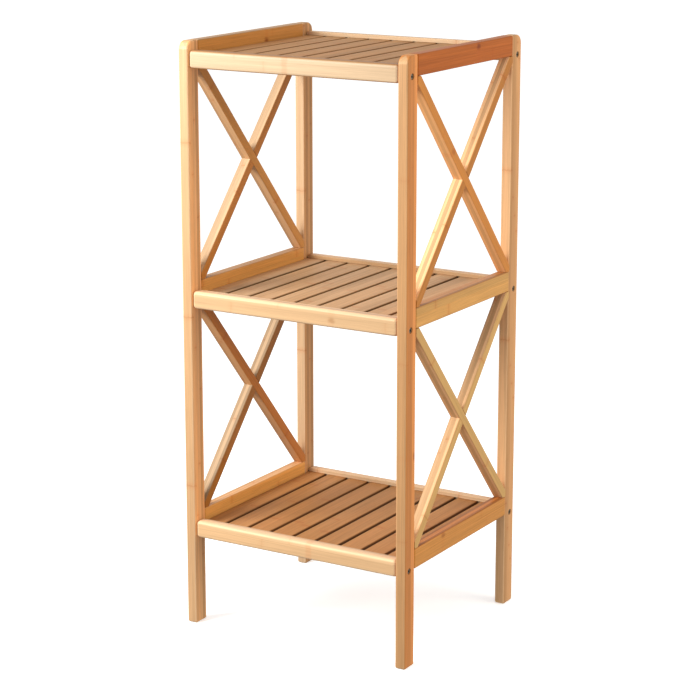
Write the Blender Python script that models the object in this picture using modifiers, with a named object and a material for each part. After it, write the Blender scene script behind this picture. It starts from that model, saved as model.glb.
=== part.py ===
"""Three-shelf bamboo towel rack: two glued side frames with X braces, and three slatted shelves.

Units are metres and +Z is up.  The rack stands on Z = 0, centred on the origin, and its front faces -Y.
"""
import math

import bmesh
import bpy
from mathutils import Matrix, Vector

# ---- driving dimensions -------------------------------------------------------------------------
HEIGHT = 0.800
WIDTH = 0.344
DEPTH = 0.308
GAP = 0.0003                    # clearance left between touching pieces

POST_X = 0.015                  # thickness of the side frame's boards
POST_Y = 0.025
POST_TOP_RADIUS = 0.012
POST_EDGE_RADIUS = 0.0015

LEVEL_NAMES = ("bottom", "middle", "top")
LEVEL_PITCH = 0.3203            # shelf to shelf
SHELF_RAIL_FIRST_Z = 0.1240     # underside of the lowest front rail
SHELF_RAIL_HEIGHT = 0.0235
SHELF_RAIL_THICK = 0.015
SHELF_RAIL_SETBACK = 0.002      # behind the posts' outer faces
SHELF_RAIL_CORNER = 0.0046      # rounded corners of the rail's outline
SHELF_RAIL_RADIUS = 0.0045      # rounded border of the outer face, under the corners' radius
SHELF_RAIL_ARRIS = 0.0008

SIDE_RAIL_HEIGHT = 0.0275
SIDE_RAIL_ARRIS = 0.0012
TENON_THICK = 0.006
TENON_HEIGHT = 0.014
TENON_LENGTH = 0.012
MORTISE_EXTRA_DEPTH = 0.0005

BRACE_WIDTH = 0.013
BRACE_ARRIS = 0.0008

SLAT_COUNT = 9
SLAT_WIDTH = 0.0309             # the two slats beside the side rails are ripped narrower to fit
SLAT_GAP = 0.0050
SLAT_SIDE_CLEARANCE = 0.0005
SLAT_THICK = 0.007
SLAT_RECESS = 0.0055            # slat tops below the shelf rails' tops
SLAT_ARRIS = 0.001
GROOVE_DEPTH = 0.004

BOLT_Z = 0.0088                 # above the shelf rail's underside
BOLT_INSET = 0.011              # from the post's outer face, along Y
BOLT_HEAD_RADIUS = 0.0037
BOLT_HEAD_THICK = 0.0034
BOLT_HEAD_RECESS = 0.0010
BOLT_SHANK_RADIUS = 0.0019
BOLT_LENGTH = 0.045
BOLT_TIP_LENGTH = 0.003
HEX_RADIUS = 0.0019
HEX_DEPTH = 0.0020
ROUND_STEPS = 20

# ---- values that follow from them ---------------------------------------------------------------
INNER_X = WIDTH / 2 - POST_X                    # the side frames' inner faces
INNER_Y = DEPTH / 2 - POST_Y                    # the posts' faces that look into the frame
RAIL_OUTER_Y = DEPTH / 2 - SHELF_RAIL_SETBACK
RAIL_INNER_Y = RAIL_OUTER_Y - SHELF_RAIL_THICK
FRAME_X = WIDTH / 2 - POST_X / 2                # middle plane of a side frame
BOLT_Y = DEPTH / 2 - BOLT_INSET
SLAT_PITCH = SLAT_WIDTH + SLAT_GAP
END_SLAT_INNER_X = (SLAT_COUNT - 2) / 2 * SLAT_PITCH + SLAT_GAP / 2
END_SLAT_OUTER_X = INNER_X - SLAT_SIDE_CLEARANCE
SLAT_LENGTH = 2 * (RAIL_INNER_Y + GROOVE_DEPTH - GAP)

SIDES = (("left", -1), ("right", 1))
ENDS = (("front", -1), ("back", 1))


def shelf_rail_z(level):
    """Underside of a level's front and back rails."""
    return SHELF_RAIL_FIRST_Z + level * LEVEL_PITCH


def side_rail_z(level):
    """Underside of a level's side rails; the top one is flush with the posts' tops."""
    return HEIGHT - SIDE_RAIL_HEIGHT - (len(LEVEL_NAMES) - 1 - level) * LEVEL_PITCH


def slat_top_z(level):
    return shelf_rail_z(level) + SHELF_RAIL_HEIGHT - SLAT_RECESS


# ---- scene and materials ------------------------------------------------------------------------
def clear_scene():
    for obj in list(bpy.data.objects):
        bpy.data.objects.remove(obj, do_unlink=True)


def make_collection(name):
    collection = bpy.data.collections.new(name)
    bpy.context.scene.collection.children.link(collection)
    return collection


def make_material(name, colour, roughness, metallic=0.0):
    material = bpy.data.materials.new(name)
    material.use_nodes = True
    shader = material.node_tree.nodes["Principled BSDF"]
    shader.inputs["Base Color"].default_value = (*colour, 1.0)
    shader.inputs["Roughness"].default_value = roughness
    shader.inputs["Metallic"].default_value = metallic
    return material


def post_material():
    return make_material("bamboo_post", (0.74, 0.45, 0.24), 0.45)


def side_rail_material():
    return make_material("bamboo_side_rail", (0.62, 0.33, 0.14), 0.45)


def brace_material():
    return make_material("bamboo_brace", (0.70, 0.42, 0.21), 0.45)


def shelf_rail_material():
    return make_material("bamboo_shelf_rail", (0.86, 0.60, 0.36), 0.45)


def slat_material():
    return make_material("bamboo_slat", (0.58, 0.37, 0.22), 0.5)


def bolt_material():
    return make_material("zinc_steel", (0.42, 0.40, 0.37), 0.35, 1.0)


# ---- mesh helpers -------------------------------------------------------------------------------
def add_object(name, mesh, collection, location=(0, 0, 0), material=None):
    obj = bpy.data.objects.new(name, mesh)
    obj.location = location
    collection.objects.link(obj)
    if material is not None:
        mesh.materials.append(material)
    return obj


def mesh_from(bm, name):
    bmesh.ops.recalc_face_normals(bm, faces=bm.faces)
    mesh = bpy.data.meshes.new(name)
    bm.to_mesh(mesh)
    bm.free()
    return mesh


def box_bmesh(size):
    bm = bmesh.new()
    bmesh.ops.create_cube(bm, size=1.0)
    bmesh.ops.scale(bm, vec=Vector(size), verts=bm.verts)
    return bm


def rod_bmesh(radius, length, steps=ROUND_STEPS, end_radius=None):
    """A closed rod along +X, starting at X = 0."""
    bm = bmesh.new()
    bmesh.ops.create_cone(bm, cap_ends=True, segments=steps, radius1=radius,
                          radius2=radius if end_radius is None else end_radius, depth=length)
    bmesh.ops.rotate(bm, verts=bm.verts, matrix=Matrix.Rotation(math.pi / 2, 3, "Y"))
    bmesh.ops.translate(bm, verts=bm.verts, vec=Vector((length / 2, 0, 0)))
    return bm


def add_bevel(obj, width, segments=2):
    bevel = obj.modifiers.new("edges", "BEVEL")
    bevel.width = width
    bevel.segments = segments
    bevel.limit_method = "ANGLE"
    bevel.angle_limit = math.radians(50)


def add_boolean(obj, other, operation="DIFFERENCE"):
    boolean = obj.modifiers.new(operation.lower(), "BOOLEAN")
    boolean.operation = operation
    boolean.solver = "EXACT"
    boolean.object = other


def add_cutter(name, mesh, location):
    cutter = add_object(name, mesh, CUTTERS, location)
    cutter.hide_render = True
    cutter.display_type = "WIRE"
    return cutter


def cut_box(obj, name, size, centre):
    add_boolean(obj, add_cutter(name, mesh_from(box_bmesh(size), name), centre))


def cut_rod(obj, name, radius, start, direction, length):
    """Cuts a round hole from a start point along X, in the given direction (-1 or 1)."""
    bm = rod_bmesh(radius, length)
    if direction < 0:
        bmesh.ops.translate(bm, verts=bm.verts, vec=Vector((-length, 0, 0)))
    add_boolean(obj, add_cutter(name, mesh_from(bm, name), start))


# ---- side frames --------------------------------------------------------------------------------
def make_post(end_name, end, side_name, side, material):
    """A corner post with a rounded outer top corner, mortises for the side rails, and bolt bores."""
    name = f"post_{end_name}_{side_name}"
    bm = box_bmesh((POST_X, POST_Y, HEIGHT))
    corner = [edge for edge in bm.edges
              if all(v.co.z > 0 and v.co.y * end > 0 for v in edge.verts)]
    bmesh.ops.bevel(bm, geom=corner, offset=POST_TOP_RADIUS, segments=8, profile=0.5, affect="EDGES")
    centre = (side * FRAME_X, end * (DEPTH / 2 - POST_Y / 2), HEIGHT / 2)
    post = add_object(name, mesh_from(bm, name), RACK, centre, material)
    add_bevel(post, POST_EDGE_RADIUS)
    outer_x = side * WIDTH / 2
    for level, level_name in enumerate(LEVEL_NAMES):
        tag = f"{name}_{level_name}"
        mortise_y = TENON_LENGTH + MORTISE_EXTRA_DEPTH
        size = (TENON_THICK + 2 * GAP, 2 * mortise_y, TENON_HEIGHT + 2 * GAP)
        tenon_z = side_rail_z(level) + SIDE_RAIL_HEIGHT / 2
        cut_box(post, f"{tag}_mortise", size, (side * FRAME_X, end * INNER_Y, tenon_z))
        bolt_z = shelf_rail_z(level) + BOLT_Z
        start = (outer_x + side * GAP, end * BOLT_Y, bolt_z)
        bore_depth = BOLT_HEAD_RECESS + BOLT_HEAD_THICK + 2 * GAP
        cut_rod(post, f"{tag}_counterbore", BOLT_HEAD_RADIUS + GAP, start, -side, bore_depth)
        cut_rod(post, f"{tag}_bore", BOLT_SHANK_RADIUS + GAP, start, -side, POST_X + 3 * GAP)
    return post


def make_side_rail(side_name, side, level, material):
    """A rail between a front and a back post, with a stub tenon on each end."""
    name = f"side_rail_{side_name}_{LEVEL_NAMES[level]}"
    body_length = 2 * (INNER_Y - GAP)
    bm = box_bmesh((POST_X, body_length, SIDE_RAIL_HEIGHT))
    centre = (side * FRAME_X, 0, side_rail_z(level) + SIDE_RAIL_HEIGHT / 2)
    rail = add_object(name, mesh_from(bm, name), RACK, centre, material)
    add_bevel(rail, SIDE_RAIL_ARRIS)
    tenon_bm = box_bmesh((TENON_THICK, 2 * (INNER_Y + TENON_LENGTH), TENON_HEIGHT))
    tenon = add_cutter(f"{name}_tenon", mesh_from(tenon_bm, f"{name}_tenon"), centre)
    add_boolean(rail, tenon, "UNION")
    return rail


def brace_bar(name, angle, length, centre, collection, material=None):
    """One diagonal bar in the plane of a side frame."""
    bar = add_object(name, mesh_from(box_bmesh((POST_X, length, BRACE_WIDTH)), name),
                     collection, centre, material)
    bar.rotation_euler = (angle, 0, 0)
    add_bevel(bar, BRACE_ARRIS)
    return bar


def make_x_brace(side_name, side, bay, material):
    """Two half-lapped, glued bars; the bay that they fill cuts their ends to points."""
    bay_name = ("lower", "upper")[bay]
    name = f"x_brace_{side_name}_{bay_name}"
    low = side_rail_z(bay) + SIDE_RAIL_HEIGHT
    high = side_rail_z(bay + 1)
    centre = (side * FRAME_X, 0, (low + high) / 2)
    angle = math.atan2(high - low, 2 * INNER_Y)
    length = 1.2 * math.hypot(high - low, 2 * INNER_Y)
    brace = brace_bar(name, -angle, length, centre, RACK, material)
    partner = brace_bar(f"{name}_partner", angle, length, centre, CUTTERS)
    partner.hide_render = True
    partner.display_type = "WIRE"
    add_boolean(brace, partner, "UNION")
    bay_size = (3 * POST_X, 2 * (INNER_Y - GAP), high - low - 2 * GAP)
    bay_box = add_cutter(f"{name}_bay", mesh_from(box_bmesh(bay_size), f"{name}_bay"), centre)
    add_boolean(brace, bay_box, "INTERSECT")
    return brace


# ---- shelves ------------------------------------------------------------------------------------
def make_shelf_rail(end_name, end, level, material):
    """A cross rail, rounded outside and at its corners, with a slat groove and a bolt hole in each end."""
    name = f"shelf_rail_{end_name}_{LEVEL_NAMES[level]}"
    length = 2 * (INNER_X - GAP)
    bm = box_bmesh((length, SHELF_RAIL_THICK, SHELF_RAIL_HEIGHT))
    corners = [edge for edge in bm.edges if edge.verts[0].co.y * edge.verts[1].co.y < 0]
    bmesh.ops.bevel(bm, geom=corners, offset=SHELF_RAIL_CORNER, segments=4, profile=0.5,
                    affect="EDGES")
    border = [edge for edge in bm.edges if all(v.co.y * end > 0 for v in edge.verts)]
    bmesh.ops.bevel(bm, geom=border, offset=SHELF_RAIL_RADIUS, segments=4, profile=0.5,
                    affect="EDGES")
    z = shelf_rail_z(level)
    centre = (0, end * (RAIL_OUTER_Y - SHELF_RAIL_THICK / 2), z + SHELF_RAIL_HEIGHT / 2)
    rail = add_object(name, mesh_from(bm, name), RACK, centre, material)
    add_bevel(rail, SHELF_RAIL_ARRIS, 1)
    groove_size = (1.1 * WIDTH, 2 * GROOVE_DEPTH, SLAT_THICK + 2 * GAP)
    groove_centre = (0, end * RAIL_INNER_Y, slat_top_z(level) - SLAT_THICK / 2)
    cut_box(rail, f"{name}_groove", groove_size, groove_centre)
    hole_depth = BOLT_HEAD_RECESS + BOLT_HEAD_THICK + BOLT_LENGTH - POST_X + 4 * GAP
    for side_name, side in SIDES:
        start = (side * INNER_X, end * BOLT_Y, z + BOLT_Z)
        cut_rod(rail, f"{name}_{side_name}_hole", BOLT_SHANK_RADIUS + GAP, start, -side, hole_depth)
    return rail


def slat_x(index):
    """Middle of a slat; the first and the last fill what is left beside the side rails."""
    if index in (0, SLAT_COUNT - 1):
        return math.copysign((END_SLAT_INNER_X + END_SLAT_OUTER_X) / 2, index - 1)
    return (index - (SLAT_COUNT - 1) / 2) * SLAT_PITCH


def make_slat(level, index, meshes):
    x = slat_x(index)
    name = f"slat_{LEVEL_NAMES[level]}_{index + 1}"
    mesh = meshes["end" if index in (0, SLAT_COUNT - 1) else "inner"]
    slat = add_object(name, mesh, RACK, (x, 0, slat_top_z(level) - SLAT_THICK / 2))
    add_bevel(slat, SLAT_ARRIS)
    return slat


def slat_meshes(material):
    """One mesh for the inner slats and one for the narrower end slats."""
    meshes = {}
    for key, width in (("inner", SLAT_WIDTH), ("end", END_SLAT_OUTER_X - END_SLAT_INNER_X)):
        meshes[key] = mesh_from(box_bmesh((width, SLAT_LENGTH, SLAT_THICK)), f"slat_{key}")
        meshes[key].materials.append(material)
    return meshes


# ---- bolts --------------------------------------------------------------------------------------
def bolt_profile():
    """Half outline of the bolt from its tip to its head, in the XZ plane with the bolt along +Z."""
    head_top = 0.0
    neck = -BOLT_HEAD_THICK
    tip = neck - BOLT_LENGTH
    chamfer = 0.0005
    return [(0.0, head_top), (BOLT_HEAD_RADIUS - chamfer, head_top),
            (BOLT_HEAD_RADIUS, head_top - chamfer), (BOLT_HEAD_RADIUS, neck),
            (BOLT_SHANK_RADIUS, neck), (BOLT_SHANK_RADIUS, tip + BOLT_TIP_LENGTH), (0.0, tip)]


def make_bolt(end_name, end, side_name, side, level, material):
    """A recessed hex-socket bolt through a post into the end of a shelf rail."""
    name = f"bolt_{end_name}_{side_name}_{LEVEL_NAMES[level]}"
    mesh = bpy.data.meshes.new(name)
    points = bolt_profile()
    mesh.from_pydata([(x, 0, z) for x, z in points], [(i, i + 1) for i in range(len(points) - 1)], [])
    head_x = side * (WIDTH / 2 - BOLT_HEAD_RECESS)
    centre = (head_x, end * BOLT_Y, shelf_rail_z(level) + BOLT_Z)
    bolt = add_object(name, mesh, RACK, centre, material)
    bolt.rotation_euler = (0, side * math.pi / 2, 0)
    screw = bolt.modifiers.new("turned", "SCREW")
    screw.axis = "Z"
    screw.steps = ROUND_STEPS
    screw.render_steps = ROUND_STEPS
    screw.use_merge_vertices = True
    screw.merge_threshold = 0.00001
    screw.use_smooth_shade = False
    socket_bm = rod_bmesh(HEX_RADIUS, 2 * HEX_DEPTH, 6)
    bmesh.ops.translate(socket_bm, verts=socket_bm.verts, vec=Vector((-HEX_DEPTH, 0, 0)))
    socket = add_cutter(f"{name}_socket", mesh_from(socket_bm, f"{name}_socket"), centre)
    add_boolean(bolt, socket)
    return bolt


# ---- assembly -----------------------------------------------------------------------------------
def build_side_frames():
    posts = post_material()
    rails = side_rail_material()
    braces = brace_material()
    for side_name, side in SIDES:
        for end_name, end in ENDS:
            make_post(end_name, end, side_name, side, posts)
        for level in range(len(LEVEL_NAMES)):
            make_side_rail(side_name, side, level, rails)
        for bay in range(len(LEVEL_NAMES) - 1):
            make_x_brace(side_name, side, bay, braces)


def build_shelves():
    rails = shelf_rail_material()
    meshes = slat_meshes(slat_material())
    for level in range(len(LEVEL_NAMES)):
        for end_name, end in ENDS:
            make_shelf_rail(end_name, end, level, rails)
        for index in range(SLAT_COUNT):
            make_slat(level, index, meshes)


def build_bolts():
    steel = bolt_material()
    for side_name, side in SIDES:
        for end_name, end in ENDS:
            for level in range(len(LEVEL_NAMES)):
                make_bolt(end_name, end, side_name, side, level, steel)


clear_scene()
RACK = make_collection("towel_rack")
CUTTERS = make_collection("cutters")
build_side_frames()
build_shelves()
build_bolts()
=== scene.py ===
"""Looks for the bamboo towel rack: every board remade with rounded edges and laminated bamboo.

Metres, +Z up, front towards -Y.  Each piece stores where its surface lies along, across and through
its board, and the bamboo material builds strips, fibres, nodes and end grain from that.
"""
import math

import bmesh
import bpy
import numpy as np
from mathutils import Matrix, Vector


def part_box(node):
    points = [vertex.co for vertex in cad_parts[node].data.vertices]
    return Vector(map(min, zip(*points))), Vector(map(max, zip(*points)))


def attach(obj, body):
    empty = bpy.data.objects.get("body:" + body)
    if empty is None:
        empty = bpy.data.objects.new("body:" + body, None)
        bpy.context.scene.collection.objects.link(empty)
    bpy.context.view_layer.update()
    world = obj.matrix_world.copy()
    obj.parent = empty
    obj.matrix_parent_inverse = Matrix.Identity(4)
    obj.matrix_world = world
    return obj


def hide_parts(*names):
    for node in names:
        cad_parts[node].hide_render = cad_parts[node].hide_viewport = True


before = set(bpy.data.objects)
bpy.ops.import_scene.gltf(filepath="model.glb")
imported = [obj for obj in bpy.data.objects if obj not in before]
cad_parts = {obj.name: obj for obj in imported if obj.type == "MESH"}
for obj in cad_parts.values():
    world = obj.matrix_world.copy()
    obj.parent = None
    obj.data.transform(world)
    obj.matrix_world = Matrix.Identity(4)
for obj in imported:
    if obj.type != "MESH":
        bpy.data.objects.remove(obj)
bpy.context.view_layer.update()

# ---- names and directions -----------------------------------------------------------------------
LEVELS = ("bottom", "middle", "top")
SIDES = (("left", -1), ("right", 1))
ENDS = (("front", -1), ("back", 1))
BAYS = ("lower", "upper")
SLAT_COUNT = 9
MIDDLE_SLAT = 5

X = Vector((1, 0, 0))
Y = Vector((0, 1, 0))
Z = Vector((0, 0, 1))

# ---- edges and joinery, in metres ---------------------------------------------------------------
GAP = 0.0003                    # between pieces that are glued or fitted together
POST_TOP_RADIUS = 0.012
POST_EDGE = 0.0026
SIDE_RAIL_EDGE = 0.0018
SHELF_RAIL_CORNER = 0.0046      # rounded corners of the rail's outline
SHELF_RAIL_EDGE = 0.0045        # rounded border of its outer face, just under the corners' radius
SHELF_RAIL_ARRIS = 0.0010
BRACE_EDGE = 0.0012
SLAT_EDGE = 0.0014
BRACE_WIDTH = 0.013
TENON_THICK = 0.006
TENON_HEIGHT = 0.014
MORTISE_EXTRA = 0.0005
GROOVE_DEPTH = 0.004
BOLT_HEAD_RADIUS = 0.0037
BOLT_HEAD_THICK = 0.0034
BOLT_HEAD_RECESS = 0.0010
BOLT_SHANK_RADIUS = 0.0019
BORE_CHAMFER = 0.0004
HEX_SIDES = 6
HEX_RADIUS = 0.0019
HEX_DEPTH = 0.0020

# The bolt's rounded corners: how far in from its side a point is, and how far along its axis.
HEAD_CROWN = ((0.0009, 0.0), (0.0003, 0.0002), (0.0, 0.0007))
HEAD_ROUND = 0.0003
NECK_ROUND = 0.0004
TIP_LENGTH = 0.003
TIP_ROUND = 0.0008
TIP_SHARE = 0.6                 # the tip's radius as a share of the shank's

# ---- how finely shapes are made -----------------------------------------------------------------
ROUND_STEPS = 32                # around a bolt or a bore
POST_TOP_STEPS = 14
POST_EDGE_STEPS = 4
EDGE_STEPS = 3
RAIL_STEPS = 6
BEVEL_ABOVE = 50                # degrees between faces from which an edge is rounded
WOOD_SHARP_ABOVE = 38           # degrees from which an edge is shaded sharp
STEEL_SHARP_ABOVE = 30
OVERSHOOT = 1.2                 # how many times longer long cutters and uncut bars are than needed
MERGE_BELOW = 0.00001           # metres between points that are joined on the bolt's axis

# ---- bamboo, in metres --------------------------------------------------------------------------
STRIP_THICK = 0.0052
STRIP_WIDTH = 0.0165
NODE_SPACING = 0.235
OFF_FACE = 0.00001              # keeps a strip's boundary off a board's face
PLACES_ALONG = 7                # the bamboo that boards are taken from is so many metres long,
PLACES_ACROSS = 40              # so many strips wide
PLACES_THROUGH = 90             # and so many strips thick

# Bands and lines fade from full at the first distance to nothing at the second.
LAYER_GLUE = (0.00005, 0.00022)
COLUMN_GLUE = (0.00005, 0.00025)
NODE_LINE = (0.0004, 0.0016)
NODE_HALO = (0.0010, 0.0075)
MARK_BAND = (0.0022, 0.0062)
# Edges lighten a little where rubbed, and on side rails, braces and shelf rails darken with painted
# shade.
WORN_AND_SHADED_EDGE = (0.0003, 0.0017)
SAWN_END = (0.00002, 0.0004)
KNOT_REACH = (0.0095, 0.0060, 0.0060)
KNOT_FADE = (0.55, 1.25)        # in shares of the reach
KNOT_RAGGED = 0.8               # in shares of the reach too
NODE_WAVER = 0.0035             # how far a node's line strays along the board
MARK_WAVER = 0.004
FACE_TURN = 0.0015              # from the corner to where a face is wholly broad or narrow

# Fibres at three widths: waves a metre along, across and through, then detail and roughness.
FINE_FIBRES = ((38, 2600, 2600), 3, 0.6)
MIDDLE_FIBRES = ((11, 820, 820), 2, 0.55)
BROAD_FIBRES = ((3.2, 190, 190), 2, 0.5)
PORES = 1150.0                  # on sawn ends, a metre

# What the wood's colour is multiplied by, and how strongly.
WARM_TINT = (0.97, 0.86, 0.72)
WARM_POWER = 0.45
GLUE_TINT = (0.72, 0.60, 0.48)
GLUE_POWER = 0.55
HALO_TINT = (0.98, 0.84, 0.78)
HALO_POWER = 0.55
BAND_POWER = 0.8                # the standing-out node's band has the halo's tint
LINE_TINT = (0.74, 0.56, 0.42)
LINE_POWER = (0.15, 0.5)        # where fibres are dark, and where they are light
KNOT_TINT = (0.50, 0.34, 0.22)
KNOT_POWER = 0.85
GREEN_LEFT = 0.75               # what a shade of 1 leaves of green
BLUE_LEFT = 0.5                 # and of blue

# Colours of their own.
END_POWER = 0.8                 # how far they cover the wood's colour on sawn ends
END_PORE = (0.20, 0.095, 0.035, 1)
END_WOOD = (0.56, 0.33, 0.155, 1)
LACQUER_SHINE = (1.0, 0.86, 0.66, 1)
PLATE_STAIN = (0.16, 0.14, 0.10, 1)
PLATE = (0.40, 0.37, 0.30, 1)

# Relief, and coat of lacquer.
BAMBOO_RELIEF = 0.00012
STEEL_RELIEF = 0.00003
COAT_WEIGHT = 0.06
COAT_ROUGH = 0.30
STEEL_RINGS = 9000              # turning marks a metre, from the axis outwards
STEEL_STAINS = 900              # a metre

# ---- each board's looks, with painted light and shade -------------------------------------------
# Boards run from pale straw to chestnut; a shade is how much deeper it is than plain bamboo.
SHADES = {
    "straw": -0.35,
    "natural": 0.0,
    "honey": 0.35,
    "amber": 0.7,
    "tan": 1.1,
    "caramel": 1.5,
    "chestnut": 2.2,
}

# The lightness and shade of a board's broad faces, then of its narrow ones. Besides each board's
# own tone they hold painted light and shade: darker where a board or face lies in shade, as on the
# top slats and the middle back rail's inner face, and lighter on the back posts' front faces, which
# the key lamp reaches less.
TONES_AND_LIGHT = {
    "post_front_left": (1.05, "natural", 1.5, "straw"),
    "post_front_right": (1.05, "honey", 1.45, "amber"),
    "post_back_left": (1.1, "straw", 0.95, "straw"),
    "post_back_right": (1.4, "natural", 1.1, "straw"),
    "side_rail_right_bottom": (1.25, "honey", 0.9, "caramel"),
    "side_rail_left_bottom": (1.4, "natural", 1.4, "natural"),
    "shelf_rail_front_bottom": (1.2, "natural", 1.2, "straw"),
    "side_rail_right_middle": (1.2, "straw", 1.05, "amber"),
    "side_rail_left_middle": (1.4, "natural", 1.4, "natural"),
    "shelf_rail_front_middle": (1.05, "natural", 1.25, "straw"),
    "side_rail_right_top": (0.8, "chestnut", 0.8, "chestnut"),
    "side_rail_left_top": (1.1, "honey", 1.3, "straw"),
    "shelf_rail_front_top": (0.9, "straw", 0.65, "amber"),
    "shelf_rail_back": (1.1, "straw", 1.25, "straw"),
    "shelf_rail_back_middle": (0.85, "natural", 1.2, "straw"),
    "slat_bottom": (0.85, "amber", 0.85, "amber"),
    "slat_middle": (1.1, "straw", 1.1, "straw"),
    "slat_top": (0.9, "honey", 0.9, "honey"),
    "left_lower_falling": (0.95, "caramel", 0.9, "honey"),
    "left_lower_rising": (0.75, "tan", 0.7, "straw"),
    "left_upper_falling": (1.05, "amber", 1.0, "natural"),
    "left_upper_rising": (0.9, "tan", 1.0, "straw"),
    "right_lower_falling": (1.1, "straw", 1.05, "natural"),
    "right_lower_rising": (1.15, "straw", 1.25, "natural"),
    "right_upper_falling": (1.1, "tan", 1.2, "honey"),
    "right_upper_rising": (0.9, "tan", 1.5, "natural"),
}

# Growth marks that stand out on some boards.  The first three values place one, as shares of half
# the board's size along, across and through it; then come how strong its band and its knot are.
MARKS = {
    "shelf_rail_front_top": (-0.06, 0.0, -1.0, 1.0, 0.0),
    "shelf_rail_front_middle": (0.38, -0.17, -1.0, 0.3, 0.5),
    "shelf_rail_front_bottom": (0.15, 0.0, -1.0, 0.8, 0.0),
    "side_rail_left_top": (0.245, -0.1, 1.0, 0.6, 1.0),
    "side_rail_right_top": (0.22, 0.6, 1.0, 0.3, 1.0),
    "side_rail_right_bottom": (-0.37, 0.75, 1.0, 0.4, 0.7),
    "post_front_right": (-0.285, 1.0, 0.74, 0.2, 0.8),
    "right_upper_falling": (-0.226, 0.0, 1.0, 0.8, 0.5),
}
NO_MARK = (0.0, 0.0, 0.0, 0.0, 0.0)
OWN_NODES_BESIDE_MARK = 0.35    # how strong a board's other nodes stay beside its standing-out one


def tone_colour(lightness, shade):
    """What a board's colour is multiplied by; a deep shade takes away blue most and green less."""
    depth = SHADES[shade]
    return lightness, lightness * GREEN_LEFT ** depth, lightness * BLUE_LEFT ** depth


def entry_for(table, name, default):
    """The table's entry whose key is the longest one found in a piece's name."""
    keys = [key for key in table if key in name]
    return table[max(keys, key=len)] if keys else default


def tones_and_light_of(name):
    """What the colours of a piece's broad and narrow faces are multiplied by, for its own tone and
    its painted light and shade.
    """
    light, shade, side_light, side_shade = entry_for(TONES_AND_LIGHT, name, (1, "natural", 1, "natural"))
    return tone_colour(light, shade), tone_colour(side_light, side_shade)


def spread(name, salt):
    """A repeatable number from 0 to 1 for a piece, from the usual sine hash."""
    total = sum((i + 3 + salt) * ord(c) for i, c in enumerate(name))
    return (math.sin(total * 12.9898 + salt * 78.233) * 43758.5453) % 1.0


# ---- frame measures -----------------------------------------------------------------------------
def post_box(end_name, side_name):
    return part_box(f"post_{end_name}_{side_name}")


def inner_y():
    """Y of the back posts' faces that look into the side frame."""
    return post_box("back", "right")[0].y


def bolt_point(end_name, side_name, level_name):
    """Where a bolt's axis leaves the post's outer face."""
    bolt_low, bolt_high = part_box(f"bolt_{end_name}_{side_name}_{level_name}")
    middle = (bolt_low + bolt_high) / 2
    low, high = post_box(end_name, side_name)
    return Vector((high.x if side_name == "right" else low.x, middle.y, middle.z))


# ---- mesh helpers -------------------------------------------------------------------------------
def box_bmesh(size):
    bm = bmesh.new()
    bmesh.ops.create_cube(bm, size=1.0)
    bmesh.ops.scale(bm, vec=Vector(size), verts=bm.verts)
    return bm


def cone_bmesh(radius, end_radius, length, steps):
    """A closed rod or cone along +X, starting at X = 0."""
    bm = bmesh.new()
    bmesh.ops.create_cone(bm, cap_ends=True, segments=steps, radius1=radius, radius2=end_radius,
                          depth=length)
    bmesh.ops.rotate(bm, verts=bm.verts, matrix=Matrix.Rotation(math.pi / 2, 3, "Y"))
    bmesh.ops.translate(bm, verts=bm.verts, vec=Vector((length / 2, 0, 0)))
    return bm


def temp_object(name, bm, matrix):
    bmesh.ops.recalc_face_normals(bm, faces=bm.faces)
    mesh = bpy.data.meshes.new(name)
    bm.to_mesh(mesh)
    bm.free()
    obj = bpy.data.objects.new(name, mesh)
    obj.matrix_world = matrix
    bpy.context.scene.collection.objects.link(obj)
    return obj


def box_cutter(size, centre, tilt=0.0):
    matrix = Matrix.Translation(centre) @ Matrix.Rotation(tilt, 4, "X")
    return temp_object("cutter", box_bmesh(size), matrix)


def rod_cutter(radius, start, direction, length, end_radius=None):
    """A rod from a start point along X, in the given direction (-1 or 1)."""
    bm = cone_bmesh(radius, radius if end_radius is None else end_radius, length, ROUND_STEPS)
    turn = Matrix.Rotation(0.0 if direction > 0 else math.pi, 4, "Z")
    return temp_object("cutter", bm, Matrix.Translation(start) @ turn)


def add_boolean(obj, other, operation="DIFFERENCE"):
    boolean = obj.modifiers.new(operation.lower(), "BOOLEAN")
    boolean.operation = operation
    boolean.solver = "EXACT"
    boolean.object = other


def add_bevel(obj, width, segments=EDGE_STEPS):
    bevel = obj.modifiers.new("edges", "BEVEL")
    bevel.width = width
    bevel.segments = segments
    bevel.limit_method = "ANGLE"
    bevel.angle_limit = math.radians(BEVEL_ABOVE)


def round_edges(bm, edges, radius, segments):
    bmesh.ops.bevel(bm, geom=edges, offset=radius, segments=segments, profile=0.5, affect="EDGES")


def finish_mesh(obj, cutters, sharp_above=WOOD_SHARP_ABOVE):
    """The mesh with the modifiers applied, in world coordinates; the cutters are removed."""
    bpy.context.view_layer.update()
    graph = bpy.context.evaluated_depsgraph_get()
    mesh = bpy.data.meshes.new_from_object(obj.evaluated_get(graph), depsgraph=graph)
    mesh.transform(obj.matrix_world)
    for other in [obj, *cutters]:
        bpy.data.objects.remove(other, do_unlink=True)
    mesh.shade_smooth()
    mesh.set_sharp_from_angle(angle=math.radians(sharp_above))
    return mesh


def add_piece(name, mesh, material, node):
    """The finished piece in place of its CAD node, riding on the rack's one body."""
    mesh.name = name
    mesh.materials.clear()
    mesh.materials.append(material)
    obj = bpy.data.objects.new(name, mesh)
    bpy.context.scene.collection.objects.link(obj)
    normals = obj.modifiers.new("normals", "WEIGHTED_NORMAL")
    normals.keep_sharp = True
    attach(obj, "root")
    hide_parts(node)


# ---- grain coordinates --------------------------------------------------------------------------
def store_vectors(mesh, name, values):
    """Stores a vector at each point; one vector alone is stored at all of them."""
    rows = np.broadcast_to(np.asarray(values, np.float32), (len(mesh.vertices), 3))
    layer = mesh.attributes.new(name, "FLOAT_VECTOR", "POINT")
    layer.data.foreach_set("vector", rows.ravel())


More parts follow.
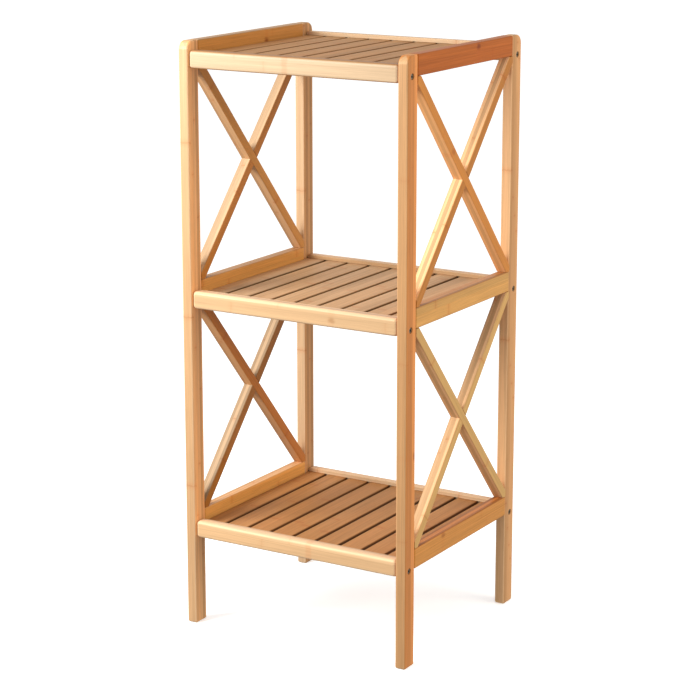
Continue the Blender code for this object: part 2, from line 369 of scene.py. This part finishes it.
def grain_shift(name, size):
    """The board's own place in the bamboo, so that no two boards share a pattern.

    Strips are counted whole from the board's low faces.
    """
    column = math.floor(PLACES_ACROSS * spread(name, 3))
    layer = math.floor(PLACES_THROUGH * spread(name, 4))
    across = column * STRIP_WIDTH + (size[1] / 2) % STRIP_WIDTH
    through = layer * STRIP_THICK + (size[2] / 2) % STRIP_THICK
    return np.array([PLACES_ALONG * spread(name, 1), across + OFF_FACE, through + OFF_FACE])


def store_grain(mesh, name, centre, axes, size):
    """Stores where each point lies along, across and through the board, and the board's looks,
    painted light and shade included.

    local is measured from the board's middle, half holds half its size, grain is local moved to the
    board's place in the bamboo, and mark is where its standing-out node is.
    """
    points = np.zeros(len(mesh.vertices) * 3, np.float32)
    mesh.vertices.foreach_get("co", points)
    turned = (points.reshape(-1, 3) - np.array(centre)) @ np.array([list(a) for a in axes]).T
    half = np.array(size) / 2
    store_vectors(mesh, "local", turned)
    store_vectors(mesh, "half", half)
    store_vectors(mesh, "grain", turned + grain_shift(name, size))
    broad, narrow = tones_and_light_of(name)
    store_vectors(mesh, "tint_broad", broad)
    store_vectors(mesh, "tint_narrow", narrow)
    *place, band, knot = entry_for(MARKS, name, NO_MARK)
    store_vectors(mesh, "mark", np.array(place) * half)
    store_vectors(mesh, "mark_power", (band, knot, OWN_NODES_BESIDE_MARK if band else 1.0))


# ---- node helpers -------------------------------------------------------------------------------
class Tree:
    """Adds nodes to a material with short calls; a value may be a number, a tuple or a socket."""

    def __init__(self, material):
        self.nodes = material.node_tree.nodes
        self.links = material.node_tree.links

    def put(self, socket, value):
        if isinstance(value, bpy.types.NodeSocket):
            self.links.new(value, socket)
        elif value is not None:
            socket.default_value = value

    def math(self, operation, a, b=None):
        node = self.nodes.new("ShaderNodeMath")
        node.operation = operation
        self.put(node.inputs[0], a)
        self.put(node.inputs[1], b)
        return node.outputs[0]

    def times(self, *values):
        product = values[0]
        for value in values[1:]:
            product = self.math("MULTIPLY", product, value)
        return product

    def vector(self, name):
        node = self.nodes.new("ShaderNodeAttribute")
        node.attribute_name = name
        return node.outputs["Vector"]

    def split(self, vector):
        node = self.nodes.new("ShaderNodeSeparateXYZ")
        self.put(node.inputs[0], vector)
        return node.outputs

    def join(self, x, y, z):
        node = self.nodes.new("ShaderNodeCombineXYZ")
        for socket, value in zip(node.inputs, (x, y, z)):
            self.put(socket, value)
        return node.outputs[0]

    def vector_math(self, operation, a, b=None):
        node = self.nodes.new("ShaderNodeVectorMath")
        node.operation = operation
        self.put(node.inputs[0], a)
        self.put(node.inputs[1], b)
        return node.outputs["Value" if operation == "LENGTH" else "Vector"]

    def noise(self, vector, waves, detail=2.0, rough=0.5):
        """Smooth noise, about 0.5 on average, with so many waves a metre along each axis."""
        node = self.nodes.new("ShaderNodeTexNoise")
        self.put(node.inputs["Vector"], self.vector_math("MULTIPLY", vector, waves))
        node.inputs["Scale"].default_value = 1.0
        node.inputs["Detail"].default_value = detail
        node.inputs["Roughness"].default_value = rough
        return node.outputs["Fac"]

    def random(self, vector):
        node = self.nodes.new("ShaderNodeTexWhiteNoise")
        node.noise_dimensions = "3D"
        self.put(node.inputs["Vector"], vector)
        return node.outputs["Value"]

    def voronoi(self, vector, scale):
        node = self.nodes.new("ShaderNodeTexVoronoi")
        self.put(node.inputs["Vector"], vector)
        node.inputs["Scale"].default_value = scale
        return node.outputs["Distance"]

    def step(self, value, low, high, to_low=0.0, to_high=1.0):
        """Turns smoothly from to_low to to_high while the value goes from low to high."""
        node = self.nodes.new("ShaderNodeMapRange")
        node.interpolation_type = "SMOOTHSTEP"
        self.put(node.inputs["Value"], value)
        self.put(node.inputs["From Min"], low)
        self.put(node.inputs["From Max"], high)
        self.put(node.inputs["To Min"], to_low)
        self.put(node.inputs["To Max"], to_high)
        return node.outputs["Result"]

    def fade(self, value, limits):
        """1 up to the first limit and 0 from the second on."""
        return self.step(value, *limits, 1.0, 0.0)

    def mix(self, factor, a, b, blend="MIX"):
        node = self.nodes.new("ShaderNodeMix")
        node.data_type = "RGBA"
        node.blend_type = blend
        self.put(node.inputs["Factor"], factor)
        self.put(node.inputs["A"], a)
        self.put(node.inputs["B"], b)
        return node.outputs["Result"]

    def tint(self, factor, colour, tone):
        """The colour, and where the factor is 1 the colour multiplied by the tone."""
        return self.mix(factor, colour, self.mix(1.0, colour, (*tone, 1), "MULTIPLY"))

    def bump(self, height, strength, distance):
        node = self.nodes.new("ShaderNodeBump")
        node.inputs["Strength"].default_value = strength
        node.inputs["Distance"].default_value = distance
        self.put(node.inputs["Height"], height)
        return node.outputs["Normal"]


def new_material(name):
    material = bpy.data.materials.new(name)
    material.use_nodes = True
    return material, Tree(material), material.node_tree.nodes["Principled BSDF"]


# ---- bamboo -------------------------------------------------------------------------------------
class Finish:
    """One kind of board: the colours of its strips' broad and narrow sides, and its lacquer."""

    def __init__(self, face, side, contrast, rough, gloss=0.22, edge_wear_and_shade=(1.01, 1.015, 1.02)):
        self.face = (*face, 1)
        self.side = (*side, 1)
        self.contrast = contrast
        self.rough = rough
        self.gloss = gloss
        self.edge_wear_and_shade = edge_wear_and_shade


# Painted shade: the side rails' and braces' long edges are darkened all round, as shade darkens
# their rounded arrises.
PAINTED_EDGE_SHADE = (0.84, 0.76, 0.66)
# A finish's broad and narrow colours differ partly as a strip's face and edge do, and partly as
# painted light and shade: paler on the faces that lie in the light, deeper on those turned from it.
FINISHES = {
    "post": Finish((0.70, 0.46, 0.26), (0.58, 0.28, 0.105), 1.0, 0.42),
    "side_rail": Finish((0.57, 0.28, 0.075), (0.55, 0.31, 0.15), 1.2, 0.42, edge_wear_and_shade=PAINTED_EDGE_SHADE),
    "brace": Finish((0.555, 0.30, 0.09), (0.72, 0.45, 0.24), 0.9, 0.42, edge_wear_and_shade=PAINTED_EDGE_SHADE),
    # The shelf rails' rounded border takes painted shade that tones down the lamp's highlight on
    # it.
    "shelf_rail": Finish((0.72, 0.49, 0.28), (0.66, 0.40, 0.21), 0.7, 0.40,
                         edge_wear_and_shade=(0.97, 0.93, 0.88)),
    # The slats' dark narrow colour is painted shade in the gaps between the slats.
    "slat": Finish((0.60, 0.34, 0.16), (0.22, 0.11, 0.04), 1.0, 0.52, gloss=0.15),
}


class BambooMaps:
    """Where strips, glue lines, nodes, fibres, marks and edges are, as sockets of a material."""

    def __init__(self, tree):
        self.tree = tree
        self.grain = tree.vector("grain")
        self.local = tree.vector("local")
        self.along, self.across, self.through = tree.split(self.grain)
        self.find_strips()
        self.find_fibres()
        self.find_nodes()
        self.find_mark()
        self.find_edges()

    def find_strips(self):
        """Two random numbers for each strip, and 1 on the glue lines between strips."""
        tree = self.tree
        layer = tree.math("FLOOR", tree.math("DIVIDE", self.through, STRIP_THICK))
        column = tree.math("FLOOR", tree.math("DIVIDE", self.across, STRIP_WIDTH))
        # The third value only keeps the two draws apart.
        self.pick = tree.random(tree.join(layer, column, 3.7))
        self.pick_two = tree.random(tree.join(column, layer, 19.3))
        in_layer = tree.math("PINGPONG", self.through, STRIP_THICK / 2)
        in_column = tree.math("PINGPONG", self.across, STRIP_WIDTH / 2)
        self.glue = tree.math("MAXIMUM", tree.fade(in_layer, LAYER_GLUE),
                              tree.fade(in_column, COLUMN_GLUE))

    def find_fibres(self):
        """Long fibres at three widths, each about 0.5 on average."""
        self.fine = self.tree.noise(self.grain, *FINE_FIBRES)
        self.middle = self.tree.noise(self.grain, *MIDDLE_FIBRES)
        self.broad = self.tree.noise(self.grain, *BROAD_FIBRES)

    def find_nodes(self):
        """1 on growth nodes: thin wavy lines with a halo, at a different place in each strip."""
        tree = self.tree
        wave = tree.noise(self.grain, (60, 260, 260))
        moved = tree.math("ADD", self.along, tree.times(wave, NODE_WAVER))
        moved = tree.math("ADD", moved, tree.times(self.pick, NODE_SPACING))
        distance = tree.math("PINGPONG", moved, NODE_SPACING / 2)
        self.line = tree.fade(distance, NODE_LINE)
        self.halo = tree.fade(distance, NODE_HALO)

    def find_mark(self):
        """The board's standing-out node: a soft band across it, and a knot where it was trimmed."""
        tree = self.tree
        band_power, knot_power, self.own_nodes = tree.split(tree.vector("mark_power"))
        away = tree.vector_math("SUBTRACT", self.local, tree.vector("mark"))
        wave = tree.noise(self.local, (90, 240, 240))
        # The wave is about 0.5 on average, so half of the waver is taken off again.
        shifted = tree.math("ADD", tree.split(away)[0], tree.times(wave, MARK_WAVER))
        from_band = tree.math("ABSOLUTE", tree.math("SUBTRACT", shifted, MARK_WAVER / 2))
        self.band = tree.times(tree.fade(from_band, MARK_BAND), band_power)
        in_reaches = tree.vector_math("MULTIPLY", away, [1 / reach for reach in KNOT_REACH])
        from_knot = tree.math("ADD", tree.vector_math("LENGTH", in_reaches),
                              tree.times(wave, KNOT_RAGGED))
        self.knot = tree.times(tree.fade(from_knot, KNOT_FADE), knot_power)

    def find_edges(self):
        """1 close to the long edges, 1 on the sawn ends, and 1 on the board's broad faces."""
        tree = self.tree
        places = tree.split(self.local)
        halves = tree.split(tree.vector("half"))
        to_end, to_side, to_face = [
            tree.math("SUBTRACT", half, tree.math("ABSOLUTE", place))
            for half, place in zip(halves, places)
        ]
        self.edge = tree.fade(tree.math("MAXIMUM", to_side, to_face), WORN_AND_SHADED_EDGE)
        self.end = tree.fade(to_end, SAWN_END)
        self.flat = tree.step(tree.math("SUBTRACT", to_side, to_face), -FACE_TURN, FACE_TURN)


def strip_colour(tree, maps, finish):
    """Each strip's own colour, streaked by its fibres, with dark glue lines between strips."""
    contrast = finish.contrast
    colour = tree.mix(maps.flat, finish.side, finish.face)
    colour = tree.tint(tree.times(maps.pick_two, WARM_POWER * contrast), colour, WARM_TINT)
    on_broad = tree.step(maps.pick, 0.0, 1.0, 1.0 - 0.08 * contrast, 1.0 + 0.05 * contrast)
    on_narrow = tree.step(maps.pick, 0.1, 0.9, 1.0 - 0.27 * contrast, 1.0 + 0.14 * contrast)
    narrow_share = tree.math("SUBTRACT", 1.0, maps.flat)
    light = tree.math("ADD", tree.times(on_broad, maps.flat), tree.times(on_narrow, narrow_share))
    light = tree.times(
        light,
        tree.step(maps.broad, 0.3, 0.7, 1.0 - 0.09 * contrast, 1.05),
        tree.step(maps.middle, 0.32, 0.62, 1.0 - 0.10 * contrast, 1.02),
        tree.step(maps.fine, 0.30, 0.55, 1.0 - 0.12 * contrast, 1.01),
    )
    colour = tree.mix(1.0, colour, tree.join(light, light, light), "MULTIPLY")
    return tree.tint(tree.times(maps.glue, GLUE_POWER * contrast), colour, GLUE_TINT)


def add_nodes(tree, maps, colour):
    """Pinkish halos and brown lines at the nodes, and the dark knot."""
    own_halo = tree.times(maps.halo, maps.own_nodes, HALO_POWER)
    pink = tree.math("MAXIMUM", own_halo, tree.times(maps.band, BAND_POWER))
    colour = tree.tint(pink, colour, HALO_TINT)
    own_line = tree.times(maps.line, maps.own_nodes, tree.step(maps.middle, 0.3, 0.6, *LINE_POWER))
    colour = tree.tint(own_line, colour, LINE_TINT)
    return tree.tint(tree.times(maps.knot, KNOT_POWER), colour, KNOT_TINT)


def add_edges_and_ends(tree, maps, colour, finish):
    """The long edges' rubbed lightening and painted shade, the sawn ends' pores, and over it all
    the board's tone with its painted light and shade.
    """
    colour = tree.tint(maps.edge, colour, finish.edge_wear_and_shade)
    pores = tree.step(tree.voronoi(maps.grain, PORES), 0.18, 0.42)
    end_colour = tree.mix(pores, END_PORE, END_WOOD)
    colour = tree.mix(tree.times(maps.end, END_POWER), colour, end_colour)
    board = tree.mix(maps.flat, tree.vector("tint_narrow"), tree.vector("tint_broad"))
    return tree.mix(1.0, colour, board, "MULTIPLY")


def add_lacquer(tree, maps, shader, finish):
    """Satin lacquer, duller on sawn ends, over a faint relief of fibres, glue lines and nodes."""
    rough = tree.step(maps.middle, 0.3, 0.7, finish.rough + 0.05, finish.rough - 0.04)
    tree.put(shader.inputs["Roughness"], tree.math("ADD", rough, tree.times(maps.end, 0.18)))
    height = tree.math("ADD", tree.times(maps.fine, 0.4), tree.times(maps.middle, 0.6))
    height = tree.math("SUBTRACT", height, tree.times(maps.glue, 0.5))
    height = tree.math("ADD", height, tree.times(maps.line, 0.35))
    tree.put(shader.inputs["Normal"], tree.bump(height, 0.22, BAMBOO_RELIEF))
    shader.inputs["Specular IOR Level"].default_value = finish.gloss
    shader.inputs["Specular Tint"].default_value = LACQUER_SHINE
    shader.inputs["Coat Weight"].default_value = COAT_WEIGHT
    shader.inputs["Coat Roughness"].default_value = COAT_ROUGH


def make_bamboo(kind):
    """Laminated bamboo for one kind of board."""
    finish = FINISHES[kind]
    material, tree, shader = new_material(f"bamboo_{kind}_finish")
    maps = BambooMaps(tree)
    colour = strip_colour(tree, maps, finish)
    colour = add_nodes(tree, maps, colour)
    colour = add_edges_and_ends(tree, maps, colour, finish)
    tree.put(shader.inputs["Base Color"], colour)
    add_lacquer(tree, maps, shader, finish)
    return material


def make_steel():
    """Dull zinc plate with fine turning marks and small stains."""
    material, tree, shader = new_material("zinc_steel_finish")
    local = tree.vector("local")
    _, across, through = tree.split(local)
    squares = tree.math("ADD", tree.times(across, across), tree.times(through, through))
    radius = tree.math("SQRT", squares)
    rings = tree.noise(tree.join(radius, 0.0, 0.0), (STEEL_RINGS, 0, 0), detail=1)
    stain = tree.noise(local, (STEEL_STAINS, STEEL_STAINS, STEEL_STAINS), detail=4, rough=0.65)
    colour = tree.mix(tree.step(stain, 0.35, 0.65), PLATE_STAIN, PLATE)
    tree.put(shader.inputs["Base Color"], colour)
    tree.put(shader.inputs["Roughness"], tree.step(stain, 0.3, 0.7, 0.52, 0.30))
    tree.put(shader.inputs["Normal"], tree.bump(rings, 0.25, STEEL_RELIEF))
    shader.inputs["Metallic"].default_value = 1.0
    return material


# ---- side frames --------------------------------------------------------------------------------
def post_cutters(end_name, end, side_name, side):
    """Mortises for the side rails' tenons, and the bolts' stepped bores."""
    cutters = []
    low, high = post_box(end_name, side_name)
    for level_name in LEVELS:
        rail_low, rail_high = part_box(f"side_rail_{side_name}_{level_name}")
        depth = rail_high.y - inner_y() + MORTISE_EXTRA
        size = (TENON_THICK + 2 * GAP, 2 * depth, TENON_HEIGHT + 2 * GAP)
        centre = Vector(((low.x + high.x) / 2, end * inner_y(), (rail_low.z + rail_high.z) / 2))
        cutters.append(box_cutter(size, centre))
        start = bolt_point(end_name, side_name, level_name) + X * side * GAP
        deep = BOLT_HEAD_RECESS + BOLT_HEAD_THICK + 2 * GAP
        wide = BOLT_HEAD_RADIUS + GAP
        cutters.append(rod_cutter(wide, start, -side, deep))
        rim = wide + BORE_CHAMFER + GAP
        cutters.append(rod_cutter(rim, start, -side, rim - wide + GAP / 2, wide - GAP / 2))
        cutters.append(rod_cutter(BOLT_SHANK_RADIUS + GAP, start, -side, high.x - low.x + 3 * GAP))
    return cutters


def build_post(end_name, end, side_name, side, material):
    name = f"board_post_{end_name}_{side_name}"
    low, high = post_box(end_name, side_name)
    size = high - low
    centre = (low + high) / 2
    bm = box_bmesh(size)
    corner = [edge for edge in bm.edges
              if all(v.co.z > 0 and v.co.y * end > 0 for v in edge.verts)]
    round_edges(bm, corner, POST_TOP_RADIUS, POST_TOP_STEPS)
    post = temp_object(name, bm, Matrix.Translation(centre))
    add_bevel(post, POST_EDGE, POST_EDGE_STEPS)
    cutters = post_cutters(end_name, end, side_name, side)
    for cutter in cutters:
        add_boolean(post, cutter)
    mesh = finish_mesh(post, cutters)
    store_grain(mesh, name, centre, (Z, X, Y), (size.z, size.x, size.y))
    add_piece(name, mesh, material, f"post_{end_name}_{side_name}")


def build_side_rail(side_name, level_name, material):
    name = f"board_side_rail_{side_name}_{level_name}"
    node = f"side_rail_{side_name}_{level_name}"
    low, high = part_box(node)
    centre = (low + high) / 2
    size = Vector((high.x - low.x, 2 * (inner_y() - GAP), high.z - low.z))
    rail = temp_object(name, box_bmesh(size), Matrix.Translation(centre))
    add_bevel(rail, SIDE_RAIL_EDGE)
    tenon = box_cutter((TENON_THICK, high.y - low.y, TENON_HEIGHT), centre)
    add_boolean(rail, tenon, "UNION")
    mesh = finish_mesh(rail, [tenon])
    store_grain(mesh, name, centre, (Y, Z, X), (high.y - low.y, size.z, size.x))
    add_piece(name, mesh, material, node)


def build_brace(side_name, bay_name, material):
    """Two bars that cross at a half-lap: one is whole on its +X face, the other on its -X face."""
    node = f"x_brace_{side_name}_{bay_name}"
    low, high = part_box(node)
    centre = (low + high) / 2
    thick = high.x - low.x
    rise = high.z - low.z + 2 * GAP
    run = 2 * inner_y()
    angle = math.atan2(rise, run)
    length = OVERSHOOT * math.hypot(rise, run)
    for slope_name, tilt, lap_side in (("falling", -angle, -1), ("rising", angle, 1)):
        name = f"{node}_{slope_name}_bar"
        turn = Matrix.Translation(centre) @ Matrix.Rotation(tilt, 4, "X")
        bar = temp_object(name, box_bmesh((thick, length, BRACE_WIDTH)), turn)
        add_bevel(bar, BRACE_EDGE)
        lap = centre + X * lap_side * thick / 2
        notch = box_cutter((thick + GAP, length, BRACE_WIDTH + GAP), lap, -tilt)
        bay_box = box_cutter((3 * thick, high.y - low.y, high.z - low.z), centre)
        add_boolean(bar, notch)
        add_boolean(bar, bay_box, "INTERSECT")
        mesh = finish_mesh(bar, [notch, bay_box])
        along = Vector((0, math.cos(tilt), math.sin(tilt)))
        across = Vector((0, -math.sin(tilt), math.cos(tilt)))
        store_grain(mesh, name, centre, (along, across, X), (length, BRACE_WIDTH, thick))
        add_piece(name, mesh, material, node)


# ---- shelves ------------------------------------------------------------------------------------
def shelf_rail_cutters(end_name, end, level_name, low, high):
    """The groove for the slats' ends, and the bolts' bores."""
    slat_low, slat_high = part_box(f"slat_{level_name}_{MIDDLE_SLAT}")
    inner_face = low.y if end > 0 else high.y
    centre = Vector((0, inner_face, (slat_low.z + slat_high.z) / 2))
    size = (OVERSHOOT * (high.x - low.x), 2 * GROOVE_DEPTH, slat_high.z - slat_low.z + 2 * GAP)
    cutters = [box_cutter(size, centre)]
    for side_name, side in SIDES:
        bolt_low, bolt_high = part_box(f"bolt_{end_name}_{side_name}_{level_name}")
        start = bolt_point(end_name, side_name, level_name)
        tip = bolt_low.x if side > 0 else bolt_high.x
        reach = abs(tip - start.x) + 2 * GAP
        cutters.append(rod_cutter(BOLT_SHANK_RADIUS + GAP, start, -side, reach))
    return cutters


def build_shelf_rail(end_name, end, level_name, material):
    name = f"board_shelf_rail_{end_name}_{level_name}"
    node = f"shelf_rail_{end_name}_{level_name}"
    low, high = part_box(node)
    size = high - low
    centre = (low + high) / 2
    bm = box_bmesh(size)
    corners = [edge for edge in bm.edges if edge.verts[0].co.y * edge.verts[1].co.y < 0]
    round_edges(bm, corners, SHELF_RAIL_CORNER, RAIL_STEPS)
    border = [edge for edge in bm.edges if all(v.co.y * end > 0 for v in edge.verts)]
    round_edges(bm, border, SHELF_RAIL_EDGE, RAIL_STEPS)
    rail = temp_object(name, bm, Matrix.Translation(centre))
    add_bevel(rail, SHELF_RAIL_ARRIS)
    cutters = shelf_rail_cutters(end_name, end, level_name, low, high)
    for cutter in cutters:
        add_boolean(rail, cutter)
    mesh = finish_mesh(rail, cutters)
    store_grain(mesh, name, centre, (X, Z, Y), (size.x, size.z, size.y))
    add_piece(name, mesh, material, node)


def build_slat(level_name, number, material):
    name = f"board_slat_{level_name}_{number}"
    node = f"slat_{level_name}_{number}"
    low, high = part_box(node)
    size = high - low
    centre = (low + high) / 2
    slat = temp_object(name, box_bmesh(size), Matrix.Translation(centre))
    add_bevel(slat, SLAT_EDGE)
    mesh = finish_mesh(slat, [])
    store_grain(mesh, name, centre, (Y, X, Z), (size.y, size.x, size.z))
    add_piece(name, mesh, material, node)


# ---- bolts --------------------------------------------------------------------------------------
def bolt_outline(length):
    """Half of the bolt's outline, as radius and height, from its head's top down to its tip."""
    head = BOLT_HEAD_RADIUS
    shank = BOLT_SHANK_RADIUS
    under = -BOLT_HEAD_THICK
    crown = [(head - inward, -down) for inward, down in HEAD_CROWN]
    below = [(head, under + HEAD_ROUND), (head - HEAD_ROUND, under), (shank + HEAD_ROUND, under),
             (shank, under - NECK_ROUND)]
    tip = [(shank, -length + TIP_LENGTH), (TIP_SHARE * shank, -length + TIP_ROUND), (0.0, -length)]
    return [(0.0, 0.0), *crown, *below, *tip]


def build_bolt(end_name, side_name, side, level_name, material):
    name = f"screw_{end_name}_{side_name}_{level_name}"
    node = f"bolt_{end_name}_{side_name}_{level_name}"
    low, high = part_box(node)
    head = Vector((high.x if side > 0 else low.x, (low.y + high.y) / 2, (low.z + high.z) / 2))
    points = [(x, 0, z) for x, z in bolt_outline(high.x - low.x)]
    mesh = bpy.data.meshes.new(name)
    mesh.from_pydata(points, [(i, i + 1) for i in range(len(points) - 1)], [])
    bolt = bpy.data.objects.new(name, mesh)
    bpy.context.scene.collection.objects.link(bolt)
    bolt.matrix_world = Matrix.Translation(head) @ Matrix.Rotation(side * math.pi / 2, 4, "Y")
    screw = bolt.modifiers.new("turned", "SCREW")
    screw.axis = "Z"
    screw.steps = ROUND_STEPS
    screw.render_steps = ROUND_STEPS
    screw.use_merge_vertices = True
    screw.merge_threshold = MERGE_BELOW
    bm = cone_bmesh(HEX_RADIUS, HEX_RADIUS, 2 * HEX_DEPTH, HEX_SIDES)
    bmesh.ops.translate(bm, verts=bm.verts, vec=Vector((-HEX_DEPTH, 0, 0)))
    socket = temp_object("cutter", bm, Matrix.Translation(head))
    add_boolean(bolt, socket)
    mesh = finish_mesh(bolt, [socket], STEEL_SHARP_ABOVE)
    width = 2 * BOLT_HEAD_RADIUS
    store_grain(mesh, name, head, (X, Y, Z), (high.x - low.x, width, width))
    add_piece(name, mesh, material, node)


# ---- the rack -----------------------------------------------------------------------------------
def build_side_frames():
    posts = make_bamboo("post")
    side_rails = make_bamboo("side_rail")
    braces = make_bamboo("brace")
    steel = make_steel()
    for side_name, side in SIDES:
        for end_name, end in ENDS:
            build_post(end_name, end, side_name, side, posts)
            for level_name in LEVELS:
                build_bolt(end_name, side_name, side, level_name, steel)
        for level_name in LEVELS:
            build_side_rail(side_name, level_name, side_rails)
        for bay_name in BAYS:
            build_brace(side_name, bay_name, braces)


def build_shelves():
    shelf_rails = make_bamboo("shelf_rail")
    slats = make_bamboo("slat")
    for level_name in LEVELS:
        for end_name, end in ENDS:
            build_shelf_rail(end_name, end, level_name, shelf_rails)
        for number in range(1, SLAT_COUNT + 1):
            build_slat(level_name, number, slats)


# ---- studio -------------------------------------------------------------------------------------
FLOOR_REACH = 30.0
FLOOR_DROP = 0.0002
FLOOR_COLOUR = (0.93, 0.93, 0.93, 1)
FLOOR_GLOW = 0.50
SKY_FROM_BELOW = 0.40
SKY_FROM_ABOVE = 0.66
SKY_TURN = (-0.7, 0.15)         # how steeply a direction rises where the one becomes the other
CAMERA_PLACE = (1.489, -2.487, 1.100)
CAMERA_DOWN = 13.05             # degrees below the level
CAMERA_TURN = 31.02             # degrees from looking along +Y
CAMERA_LENS = 113.5             # mm, over a sensor 36 mm wide
CAMERA_SHIFT = -0.0516


def build_floor():
    mesh = bpy.data.meshes.new("studio_floor")
    bm = bmesh.new()
    bmesh.ops.create_grid(bm, x_segments=1, y_segments=1, size=FLOOR_REACH)
    bm.to_mesh(mesh)
    bm.free()
    floor = bpy.data.objects.new("studio_floor", mesh)
    floor.location.z = -FLOOR_DROP
    bpy.context.scene.collection.objects.link(floor)
    material, _, shader = new_material("studio_floor")
    shader.inputs["Base Color"].default_value = FLOOR_COLOUR
    shader.inputs["Roughness"].default_value = 0.9
    shader.inputs["Specular IOR Level"].default_value = 0.1
    shader.inputs["Emission Color"].default_value = (1, 1, 1, 1)
    shader.inputs["Emission Strength"].default_value = FLOOR_GLOW
    mesh.materials.append(material)
    # The glow that keeps the floor pale isn't cast onto the rack.
    floor.visible_diffuse = False
    floor.visible_glossy = False


def add_area_light(name, place, target, size, power, colour):
    data = bpy.data.lights.new(name, "AREA")
    data.shape = "RECTANGLE"
    data.size = size[0]
    data.size_y = size[1]
    data.energy = power
    data.color = colour
    light = bpy.data.objects.new(name, data)
    light.location = place
    light.rotation_mode = "QUATERNION"
    light.rotation_quaternion = (Vector(target) - Vector(place)).to_track_quat("-Z", "Y")
    light.visible_camera = False
    bpy.context.scene.collection.objects.link(light)


def build_lights():
    add_area_light("key", place=(-0.75, -1.05, 0.98), target=(0, 0, 0.5), size=(0.6, 0.8),
                   power=25, colour=(1.0, 0.99, 0.97))
    add_area_light("fill", place=(2.2, 0.45, 1.0), target=(0, 0, 0.4), size=(1.4, 1.4),
                   power=26, colour=(1.0, 0.90, 0.76))


def build_sky():
    """Even white light from all round, weaker from below, as a floor gives back less."""
    world = bpy.data.worlds.new("studio")
    world.use_nodes = True
    tree = Tree(world)
    direction = tree.nodes.new("ShaderNodeTexCoord").outputs["Generated"]
    background = tree.nodes["Background"]
    background.inputs["Color"].default_value = (1.0, 1.0, 1.0, 1)
    height = tree.split(direction)[2]
    strength = tree.step(height, *SKY_TURN, SKY_FROM_BELOW, SKY_FROM_ABOVE)
    tree.put(background.inputs["Strength"], strength)
    bpy.context.scene.world = world
    bpy.context.scene.view_settings.view_transform = "Standard"


def build_camera():
    data = bpy.data.cameras.new("camera")
    data.sensor_width = 36.0
    data.lens = CAMERA_LENS
    data.shift_y = CAMERA_SHIFT
    data.clip_end = 100.0
    camera = bpy.data.objects.new("camera", data)
    camera.location = CAMERA_PLACE
    camera.rotation_euler = (math.radians(90 - CAMERA_DOWN), 0, math.radians(CAMERA_TURN))
    bpy.context.scene.collection.objects.link(camera)
    bpy.context.scene.camera = camera


build_camera()
build_side_frames()
build_shelves()
build_floor()
build_lights()
build_sky()
